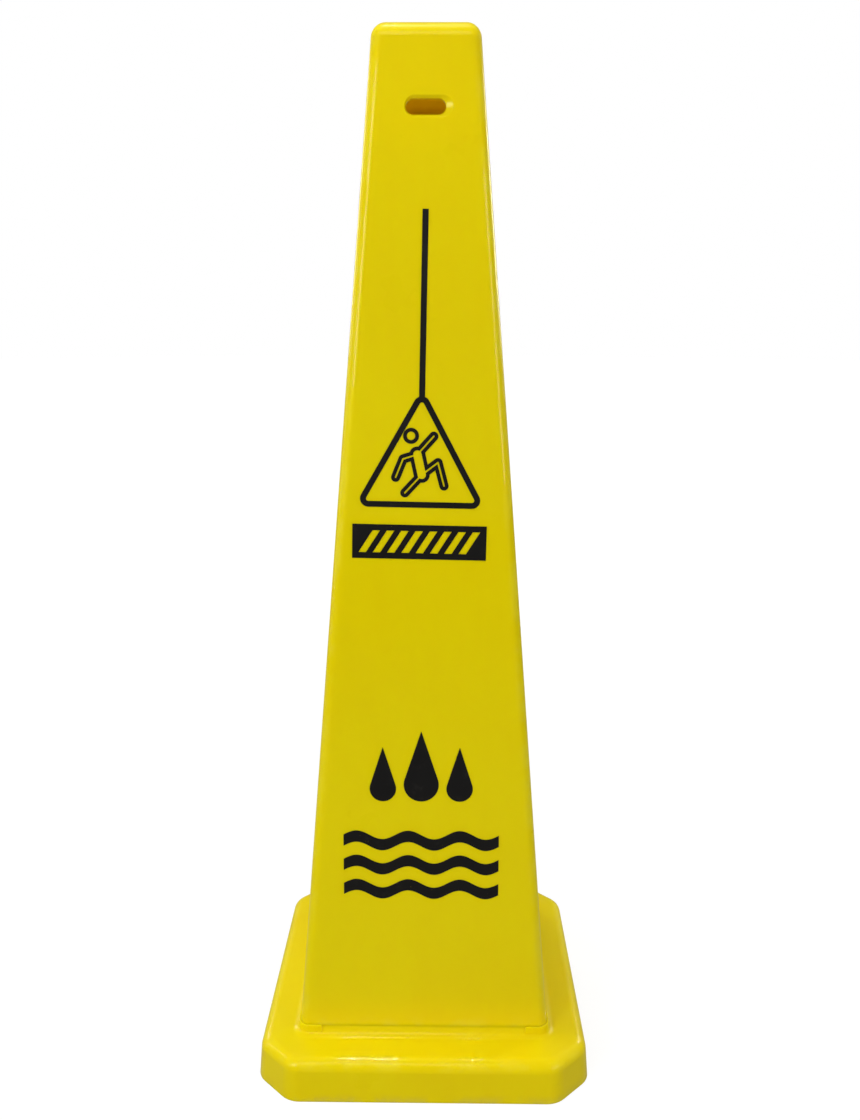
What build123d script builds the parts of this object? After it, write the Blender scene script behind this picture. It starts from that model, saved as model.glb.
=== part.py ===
from build123d import *
import os
from math import acos, atan, atan2, cos, degrees, pi, radians, sin, sqrt, tan

# Four-sided wet floor sign: a hollow tapered tower that snaps into a flared base, with the same
# black print on each of its four faces. Millimetres, +Z up, origin on the floor at the centre.
# The front faces -Y.

# Overall sizes
overall_height = 914.4
base_width = 304.8

# Tower
foot_height = 50.0          # level at which the tower's foot is measured
foot_width = 227.6          # across the faces at foot_height
head_width = 87.1           # across the faces at the top, before its edges are rounded
tower_wall = 2.6
corner_radius = 9.0         # the four long edges
head_radius = 13.0          # round the closed top

# Slot through the front and rear faces
slot_drop = 65.3            # below the top, along the face
slot_length = 32.8
slot_height = 12.5
slot_recess_length = 39.4   # where the recess round the slot meets the face
slot_recess_height = 17.0
slot_recess_shift = 2.3     # the recess sits to one side of the hole
slot_recess_depth = 2.0
slot_tube_wall = 2.2        # tube inside the tower round the hole
slot_tube_depth = 5.0

# Mark that the moulding gate leaves in the middle of the tower's top
gate_recess_radius = 6.0
gate_recess_depth = 0.7
gate_stub_radius = 1.5
gate_stub_height = 0.4      # stays below the top

# Nesting ribs inside the tower, which keep stacked signs from jamming
nesting_rib_spacing = 120.0
nesting_rib_length = 70.0
nesting_rib_width = 2.5
nesting_rib_depth = 1.6
nesting_rib_rise = 40.0     # above the foot

# Base
base_chamfer = 32.0         # leg of each cut-off corner
base_vertex_radius = 23.0
deck_top_chamfer = 8.8      # leg of each cut-off corner at the deck's inner end
base_wall = 3.0
skirt_draft = 4.7           # degrees
shoulder_height = 37.5      # where the skirt and the deck would meet in a sharp edge
shoulder_radius = 11.5
deck_slope = 7.5            # degrees
rib_spacing = 74.0          # three ribs under the deck on each side
rib_thickness = 2.2
rib_floor_gap = 12.0

# Joint between the tower and the base
seat_rise = 7.83            # from the deck to the seat, where the tower's shoulder rests
seat_width = 2.2
seat_land = 0.25            # left below the seat by the fillet that sweeps up from the deck
collar_drop = 16.0          # collar round the spigot, below the seat
collar_wall = 3.0
spigot_wall = 2.4
spigot_length = 21.0
spigot_gap = 0.2
hook_spacing = 110.0        # two hooks on each side of the spigot
hook_width = 14.0
hook_reach = 1.5
hook_height = 4.0
hook_gap = 0.3              # below the collar

# Four L-shaped lips on the base that hold the tower's corners
lip_length = 23.0
lip_thickness = 1.7
lip_rise = 0.7              # above the seat
lip_gap = 0.15
lip_edge_radius = 0.6
lip_end_radius = 1.6

# Print, laid out on the face and measured along it
film_thickness = 0.2
upper_print_shift = -4.2    # the upper print sits a little to the left
upper_print_tilt = -1.0     # degrees, and runs down to the right
line_drop = 79.1            # from the slot to the top of the hanging line
line_width = 5.0
triangle_drop = 323.0       # from the slot to the triangle's lower edge
triangle_width = 111.6      # before its corners are rounded
triangle_height = 100.9
triangle_stroke = 5.0
triangle_corner_radius = 7.0
panel_drop = 14.8           # from the triangle to the panel
panel_height = 29.4
panel_margin = 20.2         # from the panel to the face's edge
stripe_width = 6.4
stripe_pitch = 12.2
stripe_border = 5.2
stripe_lean = 32.0          # degrees from upright
figure_stroke = 3.2
figure_limb_width = 7.8
figure_torso_width = 13.5
figure_head_radius = 6.7
lower_print_shift = -2.6
drops_rise = 217.1          # from the foot to the underside of the drops
drops_pitch = 34.0
large_drop_height = 64.6
large_drop_radius = 15.5
small_drop_height = 50.0
small_drop_radius = 11.7
waves_rise = 124.9          # from the foot to the underside of the waves
waves_margin = 31.7         # from the waves to the face's edge
wave_rows = 3               # one above the other
wave_pitch = 23.0
wave_thickness = 10.6
wave_swing = 4.0
wave_crests = 3
wave_crest_steps = 8        # points on each wave's curve from crest to crest

# The figure's joints, measured from the middle of the triangle's lower edge
figure_head = (-8.6, 60.5)
figure_points = {
    "shoulder": (-3.0, 45.0),
    "raised_hand": (10.5, 60.5),
    "elbow": (-15.0, 41.0),
    "lowered_hand": (-21.0, 25.5),
    "hip": (1.0, 28.0),
    "knee": (14.5, 38.5),
    "foot": (20.0, 19.0),
    "heel": (-13.0, 12.5),
}
figure_limbs = [
    ("shoulder", "raised_hand", figure_limb_width),
    ("shoulder", "elbow", figure_limb_width),
    ("elbow", "lowered_hand", figure_limb_width),
    ("shoulder", "hip", figure_torso_width),
    ("hip", "knee", figure_limb_width),
    ("knee", "foot", figure_limb_width),
    ("hip", "heel", figure_limb_width),
]

# What follows from those sizes
face_turns = {"front": 0, "right": 90, "rear": 180, "left": 270}
slotted_faces = ("front", "rear")
cut = 1.0                   # how far a cutting solid runs past what it cuts
tolerance = 0.1             # how near an edge lies to the place where it is looked for
lean = atan((foot_width - head_width) / 2 / (overall_height - foot_height))


def tower_half(z, inset=0.0):
    """Half the tower's width at a height, on a surface set in from its outer faces."""
    return foot_width / 2 - (z - foot_height) * tan(lean) - inset / cos(lean)


shoulder_inset = shoulder_height * tan(radians(skirt_draft))
deck_rise = ((base_width - foot_width) / 2 - shoulder_inset) * tan(radians(deck_slope))
seat_height = shoulder_height + deck_rise + seat_rise
foot_turn = pi / 2 - radians(deck_slope) - lean
foot_fillet = (seat_rise - seat_land) / cos(lean) / tan(foot_turn / 2)
spigot_half = tower_half(seat_height) - seat_width - spigot_gap
spigot_corner = corner_radius - seat_width - spigot_gap
spigot_bottom = seat_height - spigot_length
collar_half = tower_half(seat_height) - seat_width
collar_bottom = seat_height - collar_drop
deck_top_inset = base_width / 2 - tower_half(seat_height) + cut
deck_top_height = shoulder_height + (deck_top_inset - shoulder_inset) * tan(radians(deck_slope))
slot_level = (overall_height - foot_height) / cos(lean) - slot_drop
triangle_level = slot_level - triangle_drop


def rounded_prism(half, radius, low, high):
    """Upright square prism with round corners."""
    outline = RectangleRounded(2 * half, 2 * half, radius)
    return extrude(Plane.XY.offset(low) * outline, high - low)


def tower_block(low, high, inset=0.0):
    """Solid with the tower's four leaning faces and round long edges, set in from the outer faces."""
    width = 2 * tower_half(low, inset)
    block = extrude(Plane.XY.offset(low) * Rectangle(width, width), high - low, taper=degrees(lean))
    middle = (low + high) / 2
    long_edges = [edge for edge in block.edges() if abs(edge.center().Z - middle) < (high - low) / 4]
    return fillet(long_edges, corner_radius - inset)


def round_top(block, radius):
    """Rounds the edges of a block's top."""
    return fillet(block.faces().sort_by(Axis.Z)[-1].edges(), radius)


def face_plane(rise=0.0):
    """Plane on the tower's front face: x to the right, y up the slope from a rise above the foot."""
    upward = Vector(0, sin(lean), cos(lean))
    foot = Vector(0, -foot_width / 2, foot_height)
    return Plane(origin=foot + upward * rise, x_dir=(1, 0, 0), z_dir=(0, -cos(lean), sin(lean)))


def turned(solid, face):
    """Moves what is built on the front face to another face."""
    return solid.rotate(Axis.Z, face_turns[face])


# ---------------------------------------------------------------- tower

def tower_outside():
    """The tower's outer shape, with the spigot under its shoulder."""
    body = round_top(tower_block(seat_height, overall_height), head_radius)
    return body + rounded_prism(spigot_half, spigot_corner, spigot_bottom, seat_height + cut)


def tower_hollow():
    """The inside of the tower. It is straight where the spigot is, then follows the faces."""
    leaning = tower_block(spigot_bottom - cut, overall_height - tower_wall, tower_wall)
    leaning = round_top(leaning, head_radius - tower_wall)
    straight = rounded_prism(spigot_half - spigot_wall, spigot_corner - spigot_wall,
                             spigot_bottom - cut, overall_height)
    return leaning & straight


def slot_tube():
    """Tube inside the front face, round the hole."""
    outline = SlotOverall(slot_length + 2 * slot_tube_wall, slot_height + 2 * slot_tube_wall)
    start = face_plane(slot_level).offset(-tower_wall / 2)
    return extrude(start * outline, -(tower_wall / 2 + slot_tube_depth))


def slot_opening():
    """The hole through the front face and its tube, with the recess round its mouth."""
    face = face_plane(slot_level)
    outline = SlotOverall(slot_length, slot_height)
    mouth = Pos(slot_recess_shift, 0) * SlotOverall(slot_recess_length, slot_recess_height)
    recess = loft([face * mouth, face.offset(-slot_recess_depth) * outline])
    hole = extrude(face.offset(cut) * outline, -(tower_wall + slot_tube_depth + 2 * cut))
    return recess + hole


def nesting_rib(side):
    """One upright rib on the inside of the front face."""
    inner_face = face_plane(nesting_rib_rise).offset(-tower_wall / 2)
    outline = Rectangle(nesting_rib_width, nesting_rib_length)
    place = Pos(side * nesting_rib_spacing / 2, nesting_rib_length / 2)
    return extrude(inner_face * (place * outline), -(tower_wall / 2 + nesting_rib_depth))


def snap_hook(side):
    """Wedge on the front of the spigot that catches under the base's collar."""
    top = collar_bottom - hook_gap
    root = spigot_wall / 2
    outline = [(root, top), (-hook_reach, top), (0.0, top - hook_height), (root, top - hook_height)]
    left_end = side * hook_spacing / 2 - hook_width / 2
    section = Plane(origin=(left_end, -spigot_half, 0), x_dir=(0, 1, 0), z_dir=(1, 0, 0))
    return extrude(section * Polygon(*outline, align=None), hook_width)


def gate_mark():
    """Shallow round recess in the top, with the stub of the gate in it."""
    floor = Plane.XY.offset(overall_height - gate_recess_depth)
    recess = extrude(floor * Circle(gate_recess_radius), gate_recess_depth + cut)
    return recess - extrude(floor * Circle(gate_stub_radius), gate_stub_height)


def make_tower():
    """The tower's moulding."""
    tower = tower_outside() - tower_hollow() - gate_mark()
    for face in face_turns:
        for side in (-1, 1):
            tower += turned(nesting_rib(side), face)
            tower += turned(snap_hook(side), face)
    for face in slotted_faces:
        tower += turned(slot_tube(), face)
        tower -= turned(slot_opening(), face)
    return tower


# ---------------------------------------------------------------- base

def skirt_chamfer(inset):
    """Leg of the cut-off corners on an outline set in evenly from the floor outline."""
    return base_chamfer - inset * (2 - sqrt(2))


def base_outline(inset, leg, radius, z):
    """Square with cut-off corners and round vertices, set in from the floor outline."""
    width = base_width - 2 * inset
    octagon = chamfer(Rectangle(width, width).vertices(), leg)
    return Plane.XY.offset(z) * fillet(octagon.vertices(), radius)


def is_level(edge, z):
    """Whether all of an edge lies at a height."""
    box = edge.bounding_box()
    return abs(box.min.Z - z) < tolerance and abs(box.max.Z - z) < tolerance


def base_block(inset):
    """The base's solid shape: skirt, rounded shoulder and sloping deck, set in from the outside."""
    floor_radius = base_vertex_radius - inset
    shoulder_vertex_radius = floor_radius - shoulder_inset / 2
    inner_vertex_radius = shoulder_vertex_radius / 2
    side_inset = inset + shoulder_inset
    shoulder_level = shoulder_height - inset
    deck_level = deck_top_height - inset
    floor = base_outline(inset, skirt_chamfer(inset), floor_radius, 0)
    shoulder = base_outline(side_inset, skirt_chamfer(side_inset), shoulder_vertex_radius, shoulder_level)
    deck_top = base_outline(deck_top_inset, deck_top_chamfer, inner_vertex_radius, deck_level)
    block = loft([floor, shoulder], ruled=True) + loft([shoulder, deck_top], ruled=True)
    ring = [edge for edge in block.edges() if is_level(edge, shoulder_level)]
    return fillet(ring, shoulder_radius - inset)


def is_collar_root(edge):
    """Whether an edge is where the deck meets the collar's outer faces."""
    box = edge.bounding_box()
    middle = edge.center()
    reach = max(abs(middle.X), abs(middle.Y))
    between = box.min.Z > shoulder_height + cut and box.max.Z < seat_height - cut
    return between and reach < tower_half(middle.Z) + tolerance


def base_outside():
    """The base's outer shape. A fillet sweeps from the deck up to the seat, flush with the tower."""
    raised = base_block(0) + tower_block(shoulder_height, seat_height)
    return fillet([edge for edge in raised.edges() if is_collar_root(edge)], foot_fillet)


def under_deck():
    """The space under the deck, outside the collar."""
    core = rounded_prism(collar_half + collar_wall, corner_radius, collar_bottom, seat_height)
    return base_block(base_wall) - core


def deck_rib(place):
    """One upright rib under the front of the deck, from the collar to the skirt."""
    inner = collar_half + collar_wall / 2
    outer = base_width / 2
    height = seat_height - rib_floor_gap
    centre = Pos(place, -(inner + outer) / 2, rib_floor_gap + height / 2)
    return (centre * Box(rib_thickness, outer - inner, height)) & base_block(base_wall / 2)


def corner_lip():
    """The lip round the front right corner of the tower's foot."""
    low = deck_top_height - cut
    high = seat_height + lip_rise
    around = round_top(tower_block(low, high, -lip_gap - lip_thickness), lip_edge_radius)
    reach = tower_half(low, -lip_gap - lip_thickness)
    middle = reach - lip_length / 2
    corner = Pos(middle, -middle, (low + high) / 2) * Box(lip_length, lip_length, high - low)
    end_on_front = corner.edges().filter_by(Axis.Y).group_by(Axis.Z)[-1].sort_by(Axis.X)[0]
    end_on_side = corner.edges().filter_by(Axis.X).group_by(Axis.Z)[-1].sort_by(Axis.Y)[-1]
    return around & fillet([end_on_front, end_on_side], lip_end_radius)


def make_base():
    """The base's moulding."""
    base = base_outside() - under_deck()
    for face in face_turns:
        for place in (-rib_spacing, 0, rib_spacing):
            base += turned(deck_rib(place), face)
        base += turned(corner_lip(), face)
    base -= tower_block(seat_height, seat_height + lip_rise + cut, -lip_gap)
    return base - rounded_prism(collar_half, corner_radius - seat_width, -cut, seat_height + cut)


# ---------------------------------------------------------------- print

def triangle_outline(inset):
    """The triangle's rounded outline on its lower edge's level, set in from the outside."""
    half_apex = atan(triangle_width / 2 / triangle_height)
    base_angle = pi / 2 - half_apex
    half = triangle_width / 2 - inset / tan(base_angle / 2)
    apex = triangle_height - inset / sin(half_apex)
    corners = Polygon((-half, inset), (half, inset), (0, apex), align=None)
    return fillet(corners.vertices(), triangle_corner_radius - inset)


def hanging_triangle():
    """Triangular border hanging from a line."""
    top = triangle_drop - line_drop
    start = triangle_height / 2
    line = Pos(0, (top + start) / 2) * Rectangle(line_width, top - start)
    return triangle_outline(0) + line - triangle_outline(triangle_stroke)


def limb(start, end, width):
    """Round-ended bar from one of the figure's joints to another."""
    first = Vector(*figure_points[start])
    last = Vector(*figure_points[end])
    middle = (first + last) / 2
    run = last - first
    turn = degrees(atan2(run.Y, run.X))
    return Pos(middle.X, middle.Y) * Rot(0, 0, turn) * SlotCenterToCenter(run.length, width)


def falling_figure():
    """Outline of a person who slips."""
    outside = Sketch() + [limb(start, end, width) for start, end, width in figure_limbs]
    inside = Sketch() + [limb(start, end, width - 2 * figure_stroke) for start, end, width in figure_limbs]
    head = Circle(figure_head_radius) - Circle(figure_head_radius - figure_stroke)
    return outside - inside + Pos(*figure_head) * head


def striped_panel():
    """Panel with a row of leaning stripes left out of it."""
    middle = -panel_drop - panel_height / 2
    level = foot_height + (triangle_level + middle) * cos(lean)
    width = 2 * (tower_half(level) - panel_margin)
    panel = Rectangle(width, panel_height)
    height = panel_height - 2 * stripe_border
    slant = height * tan(radians(stripe_lean))
    count = int((width - 2 * stripe_border - slant - stripe_width) / stripe_pitch) + 1
    for index in range(count):
        centre = (index - (count - 1) / 2) * stripe_pitch
        panel -= Pos(centre, 0) * stripe(height, slant)
    return Pos(0, middle) * panel


def stripe(height, slant):
    """One leaning stripe."""
    reach = (stripe_width + slant) / 2
    top = height / 2
    corners = [(-reach, -top), (stripe_width - reach, -top), (reach, top), (reach - stripe_width, top)]
    return Polygon(*corners, align=None)


def drop(radius, height):
    """Water drop standing on its round end, with straight flanks up to a point."""
    tip = height - radius
    angle = acos(radius / tip)
    flank_x = radius * sin(angle)
    flank_y = radius * cos(angle)
    point = Polygon((-flank_x, flank_y), (flank_x, flank_y), (0, tip), align=None)
    return Pos(0, radius) * (Circle(radius) + point)


def three_drops():
    """A large drop between two small ones."""
    large = drop(large_drop_radius, large_drop_height)
    small = drop(small_drop_radius, small_drop_height)
    return large + Pos(-drops_pitch, 0) * small + Pos(drops_pitch, 0) * small


def wave(half, level):
    """One wavy band of even height, between two levels that follow a sine."""
    steps = wave_crest_steps * wave_crests
    places = [half * (2 * step / steps - 1) for step in range(steps + 1)]
    swings = [wave_swing * sin(2 * pi * wave_crests * step / steps) for step in range(steps + 1)]
    upper = [(x, level + wave_thickness / 2 + swing) for x, swing in zip(places, swings)]
    lower = [(x, level - wave_thickness / 2 + swing) for x, swing in zip(places, swings)]
    sides = [Line(upper[0], lower[0]), Line(upper[-1], lower[-1])]
    return make_face(Curve() + [Spline(*upper), Spline(*lower)] + sides)


def three_waves():
    """Three wavy bands, one above the other."""
    first = wave_thickness / 2 + wave_swing
    middle = first + (wave_rows - 1) / 2 * wave_pitch
    half = tower_half(foot_height + (waves_rise + middle) * cos(lean)) - waves_margin
    return Sketch() + [wave(half, first + index * wave_pitch) for index in range(wave_rows)]


def printed(outline, rise, shift, tilt=0.0):
    """Lays an outline on the front face as a film of print."""
    placed = Pos(shift, 0) * Rot(0, 0, tilt) * outline
    return extrude(face_plane(rise) * placed, film_thickness)


prints = {
    "hanging_triangle": printed(hanging_triangle(), triangle_level, upper_print_shift, upper_print_tilt),
    "falling_figure": printed(falling_figure(), triangle_level, upper_print_shift, upper_print_tilt),
    "striped_panel": printed(striped_panel(), triangle_level, upper_print_shift, upper_print_tilt),
    "water_drops": printed(three_drops(), drops_rise, lower_print_shift),
    "water_waves": printed(three_waves(), waves_rise, lower_print_shift),
}

# ---------------------------------------------------------------- nodes

nodes = {"tower_shell": make_tower(), "base_skirt": make_base()}
for face_name in face_turns:
    for print_name, film in prints.items():
        nodes[face_name + "_" + print_name + "_print"] = turned(film, face_name)

os.makedirs("parts", exist_ok=True)
for name, node in nodes.items():
    export_step(node, "parts/" + name + ".step")
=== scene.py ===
from math import pi

import bmesh
import bpy
from mathutils import Matrix, Vector


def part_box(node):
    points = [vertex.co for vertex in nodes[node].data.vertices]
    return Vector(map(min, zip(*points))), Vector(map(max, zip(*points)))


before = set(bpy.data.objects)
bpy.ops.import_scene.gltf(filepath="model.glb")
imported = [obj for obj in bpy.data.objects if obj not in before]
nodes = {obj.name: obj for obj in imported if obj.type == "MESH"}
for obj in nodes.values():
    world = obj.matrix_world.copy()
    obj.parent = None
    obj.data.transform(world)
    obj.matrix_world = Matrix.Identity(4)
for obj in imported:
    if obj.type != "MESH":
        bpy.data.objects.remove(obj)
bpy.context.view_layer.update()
scene = bpy.context.scene

# Four-sided wet floor sign: a yellow plastic tower on a flared base, with black print on its faces.
# Metres, radians and watts. The front of the sign faces -Y.

# Where the plastic is rubbed, scuffed and dusty
tower_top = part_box("tower_shell")[1][2]
base_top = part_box("base_skirt")[1][2]
EDGE_RUB = 0.011            # how far the rubbing reaches from each long edge
END_RUB = 0.012             # from the tower's foot and from its top
SHOULDER_HEIGHT = 0.034
SHOULDER_RUB = 0.007
RIM_RUB = 0.006
SCUFF_HIGH = 0.30
SCUFF_LOW = 0.02            # scuffs are thickest from here down
DUST_HEIGHT = 0.010

# Colours
YELLOW = (0.88, 0.690, 0.0018)
DEEP_YELLOW = (0.83, 0.605, 0.0016)
WORN_YELLOW = (0.90, 0.75, 0.055)
SCUFF_GREY = (0.42, 0.34, 0.06)
SPECK_BROWN = (0.10, 0.065, 0.012)
FLOOR_DUST = (0.36, 0.30, 0.13)
GLOSS_TINT = (1.0, 0.84, 0.05)
INK = (0.0065, 0.0060, 0.0056)
WORN_INK = (0.022, 0.020, 0.017)
FLOOR_GREY = (0.16, 0.16, 0.16)
WHITE = (1.0, 1.0, 1.0)
THROUGH_YELLOW = (1.0, 0.62, 0.02)

# Floor
FLOOR_RADIUS = 14.0
FLOOR_SIDES = 96

# Camera
CAMERA_PLACE = (0.01415, -0.94751, 0.69435)
CAMERA_YAW = 0.0111
CAMERA_DIP = 0.2389
CAMERA_ROLL = 0.0024
CAMERA_LENS_MM = 33.62
CAMERA_SENSOR_MM = 36.0
CAMERA_NEAR = 0.01

# Lamps: name, place, aim, width and height, watts, colour.
# The last one stands for the light that comes into the tower through its yellow walls.
LAMPS = (
    ("key", (-0.5, -1.8, 2.3), (0, 0, 0.45), (1.4, 1.0), 13, WHITE),
    ("front", (-1.5, -2.1, 1.4), (0, 0, 0.65), (0.9, 1.0), 27, WHITE),
    ("left", (-2.1, -1.6, 0.8), (0, 0, 0.45), (1.0, 1.0), 5, WHITE),
    ("right", (1.9, -1.8, 1.1), (0, 0, 0.45), (1.0, 1.0), 20, WHITE),
    ("rear_left", (-2.0, 1.8, 1.2), (0, 0, 0.5), (0.9, 0.9), 13, WHITE),
    ("rear_right", (2.0, 1.8, 1.2), (0, 0, 0.5), (0.9, 0.9), 13, WHITE),
    ("overhead", (-0.24, 0.1, 2.7), (0, 0, 0), (0.09, 0.12), 9, WHITE),
    ("spark_left", (-0.14, 0.1, 2.7), (0, 0, 0), (0.02, 0.08), 4, WHITE),
    ("spark_right", (0.12, 0.1, 2.7), (0, 0, 0), (0.02, 0.08), 2.5, WHITE),
    ("left_strip", (-1.7, 0.1, 0.75), (0, 0, 0.7), (0.3, 1.2), 4, WHITE),
    ("side", (1.3, 0.75, 1.03), (0, 0, 0.6), (0.15, 0.4), 4, WHITE),
    ("inside", (0, 0, 0.80), (0, 0.03, 0.90), (0.03, 0.03), 0.0155, THROUGH_YELLOW),
)


# ---------------------------------------------------------------- how a finish is built

class Finish:
    """A material, with short ways to build its nodes."""

    def __init__(self, name):
        self.material = bpy.data.materials.new(name)
        self.material.use_nodes = True
        self.tree = self.material.node_tree
        self.tree.nodes.clear()
        output = self.add("ShaderNodeOutputMaterial")
        self.shader = self.add("ShaderNodeBsdfPrincipled")
        self.link(self.shader.outputs["BSDF"], output.inputs["Surface"])
        self.place = self.add("ShaderNodeTexCoord").outputs["Object"]
        split = self.add("ShaderNodeSeparateXYZ")
        self.link(self.place, split.inputs["Vector"])
        self.x, self.y, self.z = (split.outputs[axis] for axis in "XYZ")

    def add(self, kind, **settings):
        node = self.tree.nodes.new(kind)
        for key, value in settings.items():
            setattr(node, key, value)
        return node

    def link(self, start, end):
        self.tree.links.new(start, end)

    def put(self, socket, value):
        """Sets a socket, or links it where the value comes from another node."""
        if isinstance(value, bpy.types.NodeSocket):
            self.link(value, socket)
        elif isinstance(value, tuple) and len(socket.default_value) > len(value):
            socket.default_value = (*value, 1.0)
        else:
            socket.default_value = value

    def shade(self, **sockets):
        """Sets or links the shader's sockets by name."""
        for name, value in sockets.items():
            self.put(self.shader.inputs[name.replace("_", " ")], value)

    def math(self, operation, first, second=0.0):
        node = self.add("ShaderNodeMath", operation=operation)
        self.put(node.inputs[0], first)
        self.put(node.inputs[1], second)
        return node.outputs["Value"]

    def times(self, first, second):
        return self.math("MULTIPLY", first, second)

    def plus(self, first, second):
        return self.math("ADD", first, second)

    def stretched(self, x, y, z):
        """The place on the piece, scaled along each axis."""
        node = self.add("ShaderNodeMapping")
        node.inputs["Scale"].default_value = (x, y, z)
        self.link(self.place, node.inputs["Vector"])
        return node.outputs["Vector"]

    def noise(self, scale, detail, roughness=0.5, place=None):
        node = self.add("ShaderNodeTexNoise")
        node.inputs["Scale"].default_value = scale
        node.inputs["Detail"].default_value = detail
        node.inputs["Roughness"].default_value = roughness
        self.link(place or self.place, node.inputs["Vector"])
        return node.outputs["Fac"]

    def dots(self, scale, radius, share):
        """Soft-edged round dots, one at most in each cell of a random grid, in a share of the cells."""
        node = self.add("ShaderNodeTexVoronoi")
        node.inputs["Scale"].default_value = scale
        self.link(self.place, node.inputs["Vector"])
        near = self.band(node.outputs["Distance"], start=radius, end=0.6 * radius)
        pick = self.add("ShaderNodeSeparateColor")
        self.link(node.outputs["Color"], pick.inputs["Color"])
        return self.times(near, self.math("LESS_THAN", pick.outputs["Red"], share))

    def band(self, value, start, end, low=0.0, high=1.0):
        """Runs from low at start to high at end, and stays level beyond them."""
        node = self.add("ShaderNodeMapRange", interpolation_type="SMOOTHSTEP")
        node.inputs["From Min"].default_value = start
        node.inputs["From Max"].default_value = end
        node.inputs["To Min"].default_value = low
        node.inputs["To Max"].default_value = high
        self.link(value, node.inputs["Value"])
        return node.outputs["Result"]

    def mix(self, kind, share, first, second):
        """Mixes two numbers (FLOAT) or two colours (RGBA)."""
        node = self.add("ShaderNodeMix", data_type=kind)
        sockets = [socket for socket in node.inputs if socket.enabled]
        for socket, value in zip(sockets, (share, first, second)):
            self.put(socket, value)
        return [socket for socket in node.outputs if socket.enabled][0]

    def marked(self, colour, mark, share, mark_colour):
        """A colour, with a share of another one where a mark is."""
        return self.mix("RGBA", self.times(mark, share), colour, mark_colour)

    def bump(self, height, strength, distance, under=None):
        """Raises the surface by a height, on top of another bump where one is given."""
        node = self.add("ShaderNodeBump")
        node.inputs["Strength"].default_value = strength
        node.inputs["Distance"].default_value = distance
        self.link(height, node.inputs["Height"])
        if under is not None:
            self.link(under, node.inputs["Normal"])
        return node.outputs["Normal"]


# ---------------------------------------------------------------- plastic

def tower_wear(finish):
    """1 where the tower is rubbed: on its long edges, at its foot and round its top."""
    across = finish.math("ABSOLUTE", finish.x)
    along = finish.math("ABSOLUTE", finish.y)
    apart = finish.math("ABSOLUTE", finish.math("SUBTRACT", across, along))
    edges = finish.band(apart, start=EDGE_RUB, end=0.0)
    foot = finish.band(finish.z, start=base_top + END_RUB, end=base_top)
    top = finish.band(finish.z, start=tower_top - END_RUB, end=tower_top)
    return finish.math("MAXIMUM", edges, finish.math("MAXIMUM", foot, top))


def base_wear(finish):
    """1 where the base is rubbed: along its shoulder and on its floor rim."""
    apart = finish.math("ABSOLUTE", finish.math("SUBTRACT", finish.z, SHOULDER_HEIGHT))
    shoulder = finish.band(apart, start=SHOULDER_RUB, end=0.0)
    rim = finish.band(finish.z, start=RIM_RUB, end=0.0)
    return finish.math("MAXIMUM", shoulder, rim)


def scuff_marks(finish):
    """1 in the scuffs, which run level round the sign in patches near the floor."""
    level = finish.stretched(0.35, 0.35, 2.4)
    rubs = finish.noise(scale=55.0, detail=5.0, roughness=0.7, place=level)
    marks = finish.band(rubs, start=0.62, end=0.72)
    patches = finish.band(finish.noise(scale=9.0, detail=1.0), start=0.55, end=0.70)
    low = finish.band(finish.z, start=SCUFF_HIGH, end=SCUFF_LOW)
    return finish.times(marks, finish.times(patches, low))


def uneven_yellow(finish):
    """The plastic's own colour, deeper in large clouds and in a fine upright mottle."""
    clouds = finish.band(finish.noise(scale=5.0, detail=2.0), start=0.35, end=0.65)
    upright = finish.stretched(1, 1, 0.25)
    mottle = finish.band(finish.noise(scale=60.0, detail=2.0, place=upright), start=0.4, end=0.7)
    depth = finish.plus(finish.times(clouds, 0.30), finish.times(mottle, 0.10))
    return finish.mix("RGBA", depth, YELLOW, DEEP_YELLOW)


def moulded_surface(finish, scuffs):
    """The mould's grain, orange peel, the scuffs and the slow waves of a large thin wall."""
    grain = finish.bump(finish.noise(scale=1500.0, detail=2.0), strength=0.10, distance=0.00012)
    peel = finish.bump(finish.noise(scale=240.0, detail=2.0), strength=0.10, distance=0.0004, under=grain)
    scratched = finish.bump(scuffs, strength=0.25, distance=0.0001, under=peel)
    return finish.bump(finish.noise(scale=7.0, detail=1.0), strength=0.25, distance=0.002, under=scratched)


def moulded_plastic(name, wear):
    """Semi-gloss yellow plastic that lets some light through. It is dusty near the floor."""
    finish = Finish(name)
    broken = finish.band(finish.noise(scale=35.0, detail=4.0, roughness=0.65), start=0.42, end=0.62)
    rubbed = finish.times(wear(finish), broken)
    scuffs = scuff_marks(finish)
    specks = finish.dots(scale=60.0, radius=0.028, share=0.10)
    dust = finish.times(finish.band(finish.z, start=DUST_HEIGHT, end=0.0), broken)

    colour = uneven_yellow(finish)
    colour = finish.marked(colour, rubbed, 0.30, WORN_YELLOW)
    colour = finish.marked(colour, scuffs, 0.22, SCUFF_GREY)
    colour = finish.marked(colour, specks, 0.75, SPECK_BROWN)
    colour = finish.marked(colour, dust, 0.20, FLOOR_DUST)

    sheen = finish.noise(scale=12.0, detail=4.0, roughness=0.6)
    roughness = finish.band(sheen, start=0.3, end=0.7, low=0.27, high=0.35)
    roughness = finish.plus(roughness, finish.times(rubbed, 0.12))
    roughness = finish.plus(roughness, finish.times(scuffs, 0.18))

    surface = moulded_surface(finish, scuffs)
    finish.shade(Base_Color=colour, Roughness=roughness, Normal=surface, IOR=1.49)
    finish.shade(Specular_IOR_Level=0.16, Specular_Tint=GLOSS_TINT)
    finish.shade(Coat_Weight=0.26, Coat_Roughness=0.04, Coat_IOR=1.45)
    finish.shade(Subsurface_Weight=0.70, Subsurface_Scale=0.0055, Subsurface_Radius=(1.0, 0.90, 0.05))
    return finish.material


# ---------------------------------------------------------------- print

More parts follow.
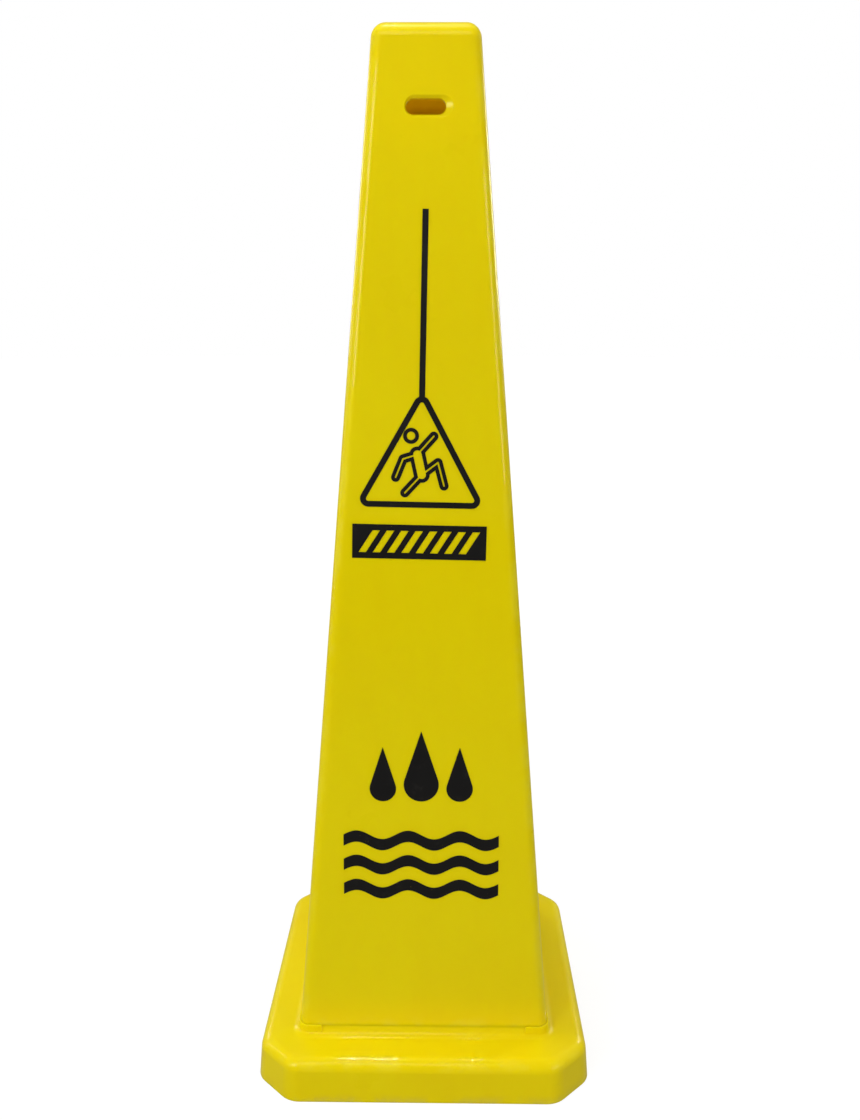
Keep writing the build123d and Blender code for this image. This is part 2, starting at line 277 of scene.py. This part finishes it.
def screen_ink(name):
    """Black ink with a slight sheen. It is thinner in places and has a few pinholes."""
    finish = Finish(name)
    thin = finish.band(finish.noise(scale=90.0, detail=4.0, roughness=0.65), start=0.55, end=0.80)
    pinholes = finish.dots(scale=420.0, radius=0.10, share=0.05)
    colour = finish.marked(INK, thin, 0.5, WORN_INK)
    colour = finish.marked(colour, pinholes, 0.35, DEEP_YELLOW)
    sheen = finish.noise(scale=30.0, detail=3.0)
    roughness = finish.band(sheen, start=0.3, end=0.7, low=0.36, high=0.46)
    grain = finish.bump(finish.noise(scale=1800.0, detail=1.0), strength=0.15, distance=0.0001)
    wavy = finish.bump(finish.noise(scale=7.0, detail=1.0), strength=0.25, distance=0.002, under=grain)
    finish.shade(Base_Color=colour, Roughness=roughness, Normal=wavy, IOR=1.45, Specular_IOR_Level=0.18)
    finish.shade(Coat_Weight=0.12, Coat_Roughness=0.12)
    return finish.material


def finish_nodes():
    """Gives the two mouldings their plastic, and every patch of print its ink."""
    plastics = {
        "tower_shell": moulded_plastic("tower_plastic", tower_wear),
        "base_skirt": moulded_plastic("base_plastic", base_wear),
    }
    ink = screen_ink("black_print")
    for name, node in nodes.items():
        node.data.materials.clear()
        node.data.materials.append(plastics.get(name, ink))


# ---------------------------------------------------------------- floor, light, camera

def floor_white():
    """Matt white. It glows more with distance, so that the floor runs into the white round it."""
    finish = Finish("floor_white")
    length = finish.add("ShaderNodeVectorMath", operation="LENGTH")
    finish.link(finish.place, length.inputs[0])
    away = length.outputs["Value"]
    seen = finish.band(away, start=0.4, end=2.4, low=0.88, high=1.0)
    cast = finish.band(away, start=0.3, end=2.0, low=0.12, high=0.0)
    ray = finish.add("ShaderNodeLightPath").outputs["Is Camera Ray"]
    glow = finish.mix("FLOAT", ray, cast, seen)
    finish.shade(Base_Color=FLOOR_GREY, Roughness=1.0, Specular_IOR_Level=0.0)
    finish.shade(Emission_Color=WHITE, Emission_Strength=glow)
    return finish.material


def make_floor():
    """Wide round floor."""
    mesh = bpy.data.meshes.new("floor")
    shape = bmesh.new()
    bmesh.ops.create_circle(shape, cap_ends=True, radius=FLOOR_RADIUS, segments=FLOOR_SIDES)
    shape.to_mesh(mesh)
    shape.free()
    mesh.materials.append(floor_white())
    floor = bpy.data.objects.new("floor", mesh)
    scene.collection.objects.link(floor)


def make_lamp(name, place, aim, size, watts, colour):
    """Flat rectangular lamp that faces its aim."""
    light = bpy.data.lights.new(name, "AREA")
    light.shape = "RECTANGLE"
    light.size, light.size_y = size
    light.energy = watts
    light.color = colour
    lamp = bpy.data.objects.new(name, light)
    scene.collection.objects.link(lamp)
    direction = Vector(aim) - Vector(place)
    lamp.matrix_world = Matrix.Translation(place) @ direction.to_track_quat("-Z", "Y").to_matrix().to_4x4()


def make_world(seen, cast):
    """White where the camera looks past the floor, and a dimmer even fill for the sign."""
    world = bpy.data.worlds.new("studio")
    world.use_nodes = True
    tree = world.node_tree
    background = tree.nodes["Background"]
    background.inputs["Color"].default_value = (*WHITE, 1.0)
    ray = tree.nodes.new("ShaderNodeLightPath")
    level = tree.nodes.new("ShaderNodeMapRange")
    level.inputs["To Min"].default_value = cast
    level.inputs["To Max"].default_value = seen
    tree.links.new(ray.outputs["Is Camera Ray"], level.inputs["Value"])
    tree.links.new(level.outputs["Result"], background.inputs["Strength"])
    scene.world = world


def make_camera():
    """Camera in front of the sign, at about three quarters of its height, tilted down."""
    camera = bpy.data.cameras.new("camera")
    camera.sensor_width = CAMERA_SENSOR_MM
    camera.lens = CAMERA_LENS_MM
    camera.clip_start = CAMERA_NEAR
    holder = bpy.data.objects.new("camera", camera)
    scene.collection.objects.link(holder)
    yaw = Matrix.Rotation(CAMERA_YAW, 4, "Z")
    dip = Matrix.Rotation(pi / 2 - CAMERA_DIP, 4, "X")
    roll = Matrix.Rotation(CAMERA_ROLL, 4, "Z")
    holder.matrix_world = Matrix.Translation(CAMERA_PLACE) @ yaw @ dip @ roll
    scene.camera = holder


finish_nodes()
make_floor()
make_world(seen=1.0, cast=0.20)
for lamp in LAMPS:
    make_lamp(*lamp)
make_camera()
scene.view_settings.view_transform = "Standard"
